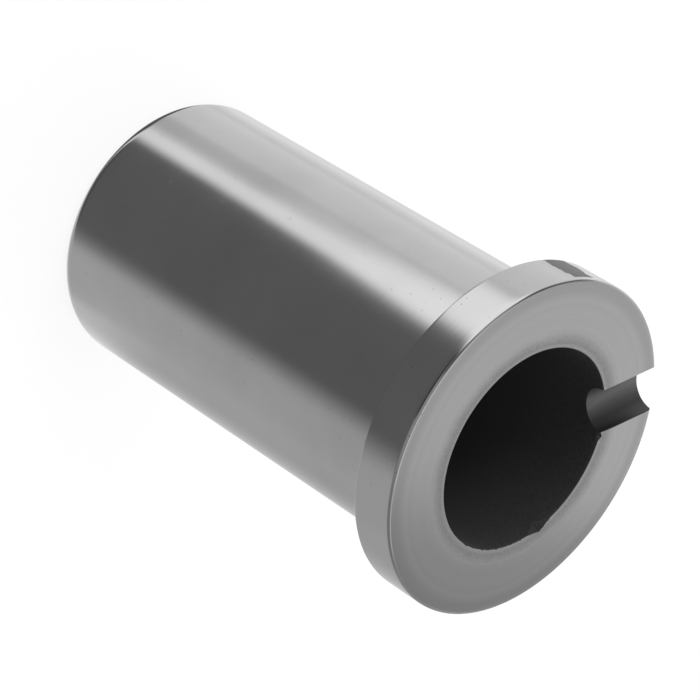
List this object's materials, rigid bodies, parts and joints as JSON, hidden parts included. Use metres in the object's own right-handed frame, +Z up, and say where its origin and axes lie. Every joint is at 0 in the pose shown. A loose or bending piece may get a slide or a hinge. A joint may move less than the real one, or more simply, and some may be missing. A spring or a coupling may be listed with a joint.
{
  "type": "foundry crucible",
  "caption": "Round graphite melting crucible with a blind bore, a thicker collar at the mouth that hangs it in a furnace, and a half-round pouring groove.",
  "frame": {"origin": "centre of the flat base, where the crucible stands", "axes": "+Z up along the bore axis, out of the mouth; +X from the bore axis along the pouring groove"},
  "size_m": [0.058, 0.058, 0.088],
  "materials": {
    "graphite": "satin, fine turned"
  },
  "bodies": {
    "root": {"crucible": "graphite"}
  },
  "joints": []
}
